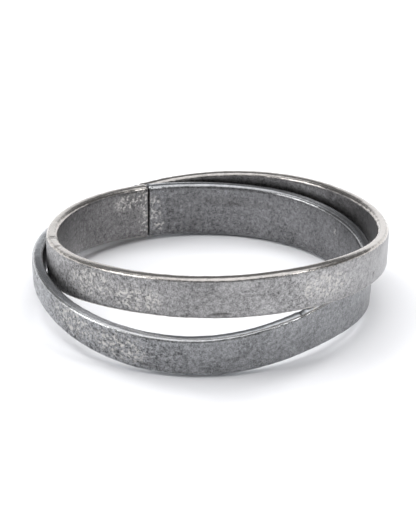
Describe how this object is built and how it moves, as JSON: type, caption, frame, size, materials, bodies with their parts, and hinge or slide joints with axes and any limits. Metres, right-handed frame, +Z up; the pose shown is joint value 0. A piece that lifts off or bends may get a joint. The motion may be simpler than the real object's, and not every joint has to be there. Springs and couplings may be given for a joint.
{
  "type": "interleaved split band ring puzzle",
  "caption": "Double band metal ring: two split flat-strip bands wound through each other, crossing at the front, with their ends butted at a seam at the back.",
  "frame": {"origin": "on the surface the ring rests on, under the centre of the finger opening", "axes": "+Z up along the finger opening, -Y towards the front where the bands cross, +X to the right"},
  "size_m": [0.0224, 0.0223, 0.0069],
  "materials": {
    "oxidised_metal": "oxidised satin grey with a fine cast grain and bright worn edges"
  },
  "bodies": {
    "lower": {"lower_band": "oxidised_metal"},
    "upper": {"upper_band": "oxidised_metal"}
  },
  "joints": [
    {"name": "band_spread", "type": "hinge", "parent": "lower", "child": "upper", "pos_m": [0, 0.0102, 0.0017], "axis": [-1, 0, 0], "range_deg": [-1, 4]}
  ]
}
